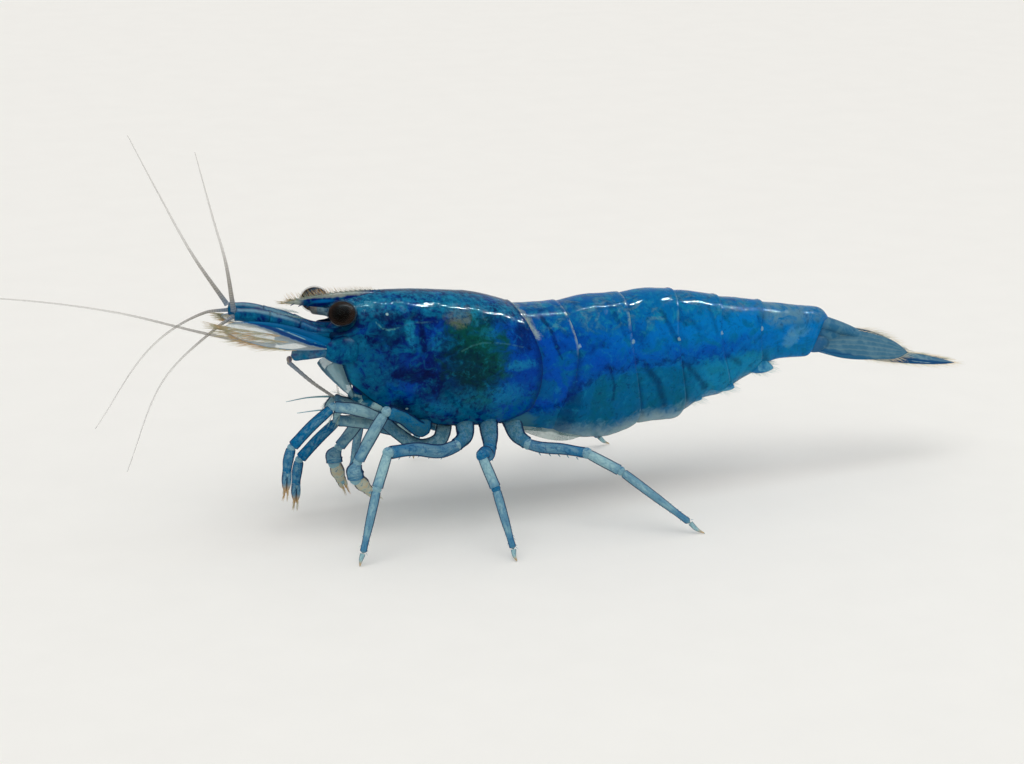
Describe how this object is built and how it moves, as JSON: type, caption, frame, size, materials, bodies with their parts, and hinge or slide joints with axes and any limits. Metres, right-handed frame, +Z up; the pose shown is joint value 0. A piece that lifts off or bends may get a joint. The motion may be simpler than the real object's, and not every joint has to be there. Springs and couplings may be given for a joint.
{
  "type": "aquarium shrimp",
  "caption": "Life-size dwarf freshwater aquarium shrimp with blue shell, walking, with stalked eyes, long antennae, claws, walking legs, swimmerets and closed tail fan.",
  "frame": {"origin": "middle of the bounding box at its base, on the ground under the feet", "axes": "+Z up, head along -Y, the animal's left side along +X"},
  "size_m": [0.0178, 0.0414, 0.0156],
  "materials": {
    "carapace": "wet glossy mottled blue shell",
    "pleon": "wet glossy translucent blue shell",
    "fins": "thin translucent blue-grey cuticle",
    "legs": "translucent pale teal cuticle with blue blotches",
    "head_limbs": "wet glossy blue cuticle",
    "flagella": "fine banded grey feelers",
    "underside": "pale translucent grey-green cuticle",
    "eye": "dark brown glossy cornea"
  },
  "bodies": {
    "root": {"antenna_left": "head_limbs", "antenna_left_flagellum": "flagella", "antenna_right": "head_limbs", "antenna_right_flagellum": "flagella", "antennal_scale_left": "fins", "antennal_scale_right": "fins", "antennule_left": "head_limbs", "antennule_left_lower_flagellum": "flagella", "antennule_left_upper_flagellum": "flagella", "antennule_right": "head_limbs", "antennule_right_lower_flagellum": "flagella", "antennule_right_upper_flagellum": "flagella", "carapace": "carapace", "eye_left": "eye", "eye_right": "eye", "eyestalk_left": "legs", "eyestalk_right": "legs", "leg_1_left": "legs", "leg_1_right": "legs", "leg_2_left": "legs", "leg_2_right": "legs", "leg_3_left_lower": "legs", "leg_3_left_upper": "legs", "leg_3_right_lower": "legs", "leg_3_right_upper": "legs", "leg_4_left_lower": "legs", "leg_4_left_upper": "legs", "leg_4_right_lower": "legs", "leg_4_right_upper": "legs", "leg_5_left_lower": "legs", "leg_5_left_upper": "legs", "leg_5_right_lower": "legs", "leg_5_right_upper": "legs", "maxilliped_left": "legs", "maxilliped_right": "legs", "mouthparts": "underside", "pleon_1": "pleon", "pleon_2": "pleon", "pleon_3": "pleon", "pleon_4": "pleon", "pleon_5": "pleon", "pleon_6": "pleon", "swimmeret_1_left": "fins", "swimmeret_1_right": "fins", "swimmeret_2_left": "fins", "swimmeret_2_right": "fins", "swimmeret_3_left": "fins", "swimmeret_3_right": "fins", "swimmeret_4_left": "fins", "swimmeret_4_right": "fins", "swimmeret_5_left": "fins", "swimmeret_5_right": "fins", "telson": "fins", "thorax": "underside", "uropods_left": "fins", "uropods_right": "fins"}
  },
  "joints": []
}
